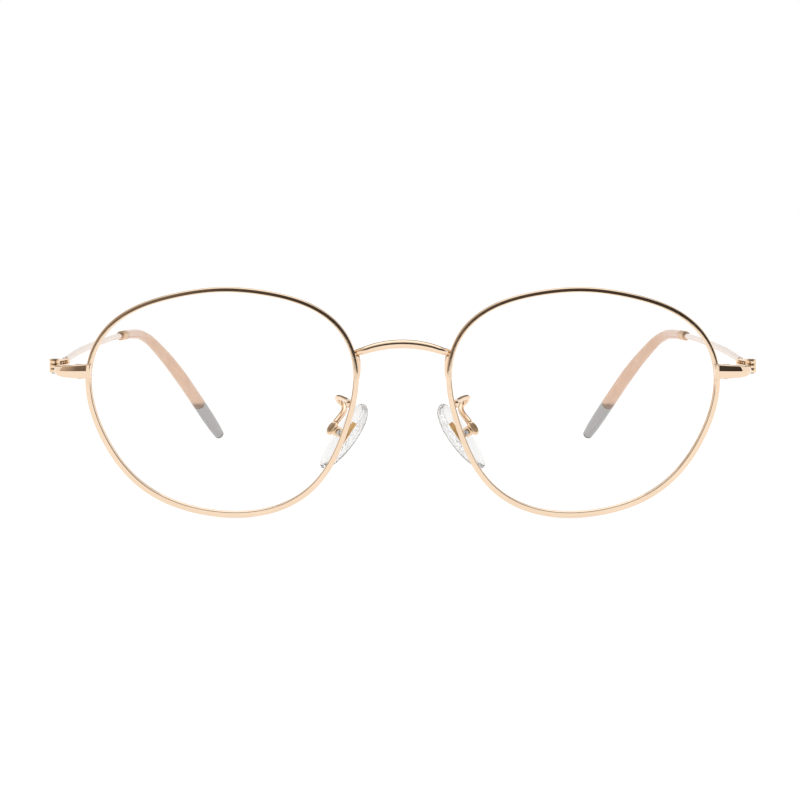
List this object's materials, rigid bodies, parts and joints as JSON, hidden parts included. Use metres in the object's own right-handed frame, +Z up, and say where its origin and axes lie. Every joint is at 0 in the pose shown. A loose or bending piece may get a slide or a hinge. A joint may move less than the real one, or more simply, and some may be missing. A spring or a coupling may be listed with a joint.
{
  "type": "eyeglasses frame",
  "caption": "Full-rim wire eyeglasses frame with oval rims, a plain arched bridge, rocking clear nose pads, hinged temples and clear temple tips.",
  "frame": {"origin": "on the table under the middle of the open frame's bounding box, halfway between the front and the temple tips", "axes": "+X to the right as seen from the front, +Y from the front towards the temple tips, so the lenses face -Y, and +Z up"},
  "size_m": [0.1382, 0.1415, 0.0444],
  "materials": {
    "rose_gold_metal": "polished",
    "steel_screw": "satin",
    "clear_pad_silicone": "satin",
    "clear_tip_acetate": "gloss"
  },
  "bodies": {
    "front": {"bridge": "rose_gold_metal", "rim_right": "rose_gold_metal", "rim_lock_upper_right": "rose_gold_metal", "rim_lock_lower_right": "rose_gold_metal", "rim_lock_screw_right": "steel_screw", "end_piece_right": "rose_gold_metal", "hinge_front_leaf_right": "rose_gold_metal", "pad_arm_right": "rose_gold_metal", "pad_box_right": "rose_gold_metal", "pad_screw_right": "steel_screw", "rim_left": "rose_gold_metal", "rim_lock_upper_left": "rose_gold_metal", "rim_lock_lower_left": "rose_gold_metal", "rim_lock_screw_left": "steel_screw", "end_piece_left": "rose_gold_metal", "hinge_front_leaf_left": "rose_gold_metal", "pad_arm_left": "rose_gold_metal", "pad_box_left": "rose_gold_metal", "pad_screw_left": "steel_screw"},
    "temple_arm_right": {"hinge_temple_leaf_right": "rose_gold_metal", "hinge_screw_right": "steel_screw", "temple_wire_right": "rose_gold_metal", "tip_ferrule_right": "rose_gold_metal", "temple_tip_right": "clear_tip_acetate"},
    "temple_arm_left": {"hinge_temple_leaf_left": "rose_gold_metal", "hinge_screw_left": "steel_screw", "temple_wire_left": "rose_gold_metal", "tip_ferrule_left": "rose_gold_metal", "temple_tip_left": "clear_tip_acetate"},
    "pad_rocker_right": {"nose_pad_right": "clear_pad_silicone", "pad_insert_right": "rose_gold_metal"},
    "pad_rocker_left": {"nose_pad_left": "clear_pad_silicone", "pad_insert_left": "rose_gold_metal"}
  },
  "joints": [
    {"name": "temple_hinge_right", "type": "hinge", "parent": "front", "child": "temple_arm_right", "pos_m": [0.068, -0.0612, 0.0284], "axis": [0, 0, 1], "range_deg": [0, 82]},
    {"name": "temple_hinge_left", "type": "hinge", "parent": "front", "child": "temple_arm_left", "pos_m": [-0.068, -0.0612, 0.0284], "axis": [0, 0, -1], "range_deg": [0, 74]},
    {"name": "nose_pad_pivot_right", "type": "hinge", "parent": "front", "child": "pad_rocker_right", "pos_m": [0.01301, -0.06319, 0.0161], "axis": [0.4652, 0.8749, 0.1344], "range_deg": [-10, 10]},
    {"name": "nose_pad_pivot_left", "type": "hinge", "parent": "front", "child": "pad_rocker_left", "pos_m": [-0.01301, -0.06319, 0.0161], "axis": [-0.4652, 0.8749, 0.1344], "range_deg": [-10, 10]}
  ]
}
